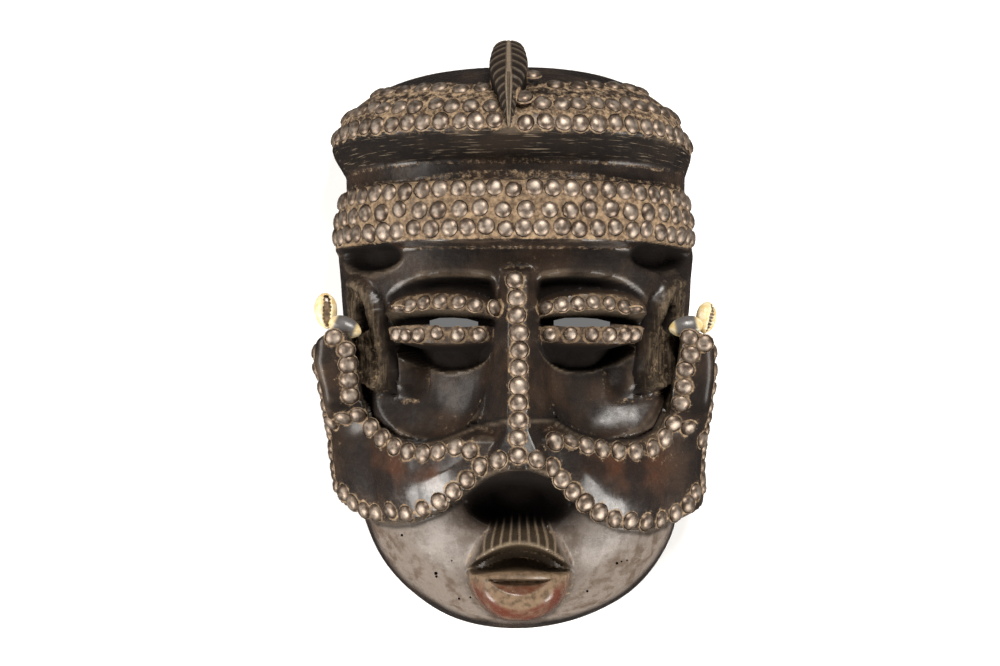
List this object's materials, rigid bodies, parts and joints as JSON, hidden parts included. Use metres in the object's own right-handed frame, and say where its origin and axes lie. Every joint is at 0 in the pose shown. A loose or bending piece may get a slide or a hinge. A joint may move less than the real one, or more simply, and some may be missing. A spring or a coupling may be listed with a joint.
{
  "type": "carved face mask",
  "caption": "Hollow carved wooden face mask with arched bands, a ridge nose, tusk plates and a pouting mouth, studded with domed tacks and hung with cowrie shells.",
  "frame": {"origin": "middle of the flat back rim's plane, under the whole mask as it lies face up", "axes": "+Z out of the face, +Y from the chin to the crest, +X to the right as seen from the front"},
  "size_m": [0.2268, 0.3216, 0.1271],
  "materials": {
    "carved_wood": "dark brown-black hardwood, hand rubbed to a satin patina, reddish where it is worn, with ochre dirt in the hollows",
    "tack_metal": "domed tack heads dulled to a grey-brown pewter patina, with soft highlights",
    "cowrie_shell": "ivory cowrie shell with a grey back and a dark toothed slit"
  },
  "bodies": {
    "root": {"carved_mask": "carved_wood", "cowrie_left_ear": "cowrie_shell", "cowrie_left_horn": "cowrie_shell", "cowrie_right_ear": "cowrie_shell", "cowrie_right_horn": "cowrie_shell", "tacks_cap_lower_left": "tack_metal", "tacks_cap_lower_right": "tack_metal", "tacks_cap_middle_left": "tack_metal", "tacks_cap_middle_right": "tack_metal", "tacks_band_upper": "tack_metal", "tacks_band_lower": "tack_metal", "tacks_nose": "tack_metal", "tacks_left_upper_lid": "tack_metal", "tacks_left_lower_lid": "tack_metal", "tacks_right_upper_lid": "tack_metal", "tacks_right_lower_lid": "tack_metal", "tacks_left_plate_lower": "tack_metal", "tacks_right_plate_lower": "tack_metal", "tacks_left_plate_upper": "tack_metal", "tacks_right_plate_upper": "tack_metal", "tacks_left_plate_edge": "tack_metal", "tacks_right_plate_edge": "tack_metal"}
  },
  "joints": []
}
